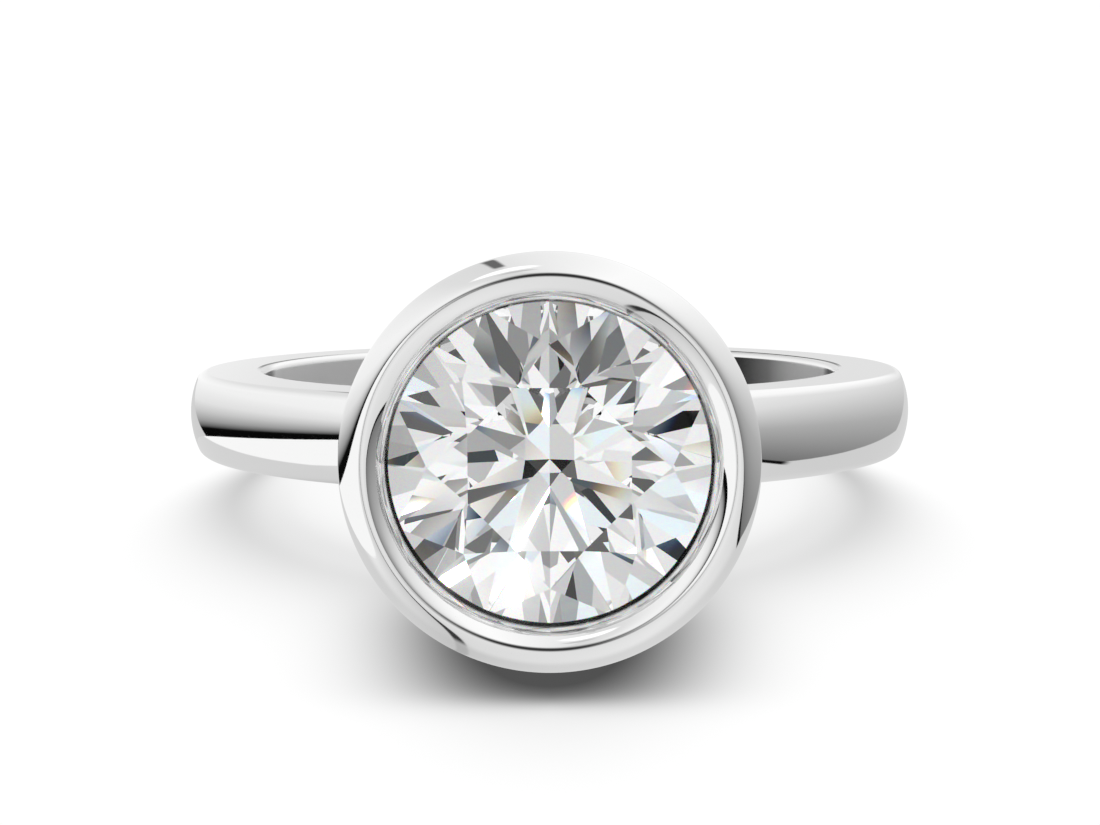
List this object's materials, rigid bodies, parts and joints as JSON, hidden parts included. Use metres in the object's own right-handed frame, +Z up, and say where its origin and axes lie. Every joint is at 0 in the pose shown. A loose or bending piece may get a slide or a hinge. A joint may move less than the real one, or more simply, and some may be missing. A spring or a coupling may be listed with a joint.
{
  "type": "bezel set ring",
  "caption": "Finger ring with a plain polished shank and a round brilliant-cut clear stone held all round in a tapered cup with a rounded rim, lying on its side.",
  "frame": {"origin": "middle of the ring's footprint, on the surface that it lies on", "axes": "+Z up from the surface, -Y the way that the stone faces, X across the shank; the finger hole's axis leans 8.6 degrees from +Z towards +Y"},
  "size_m": [0.0206, 0.0252, 0.0094],
  "materials": {
    "white_gold": "mirror polish",
    "clear_stone": "polished flat facets, colourless, high dispersion"
  },
  "bodies": {
    "root": {"ring_mount": "white_gold", "centre_stone": "clear_stone"}
  },
  "joints": []
}
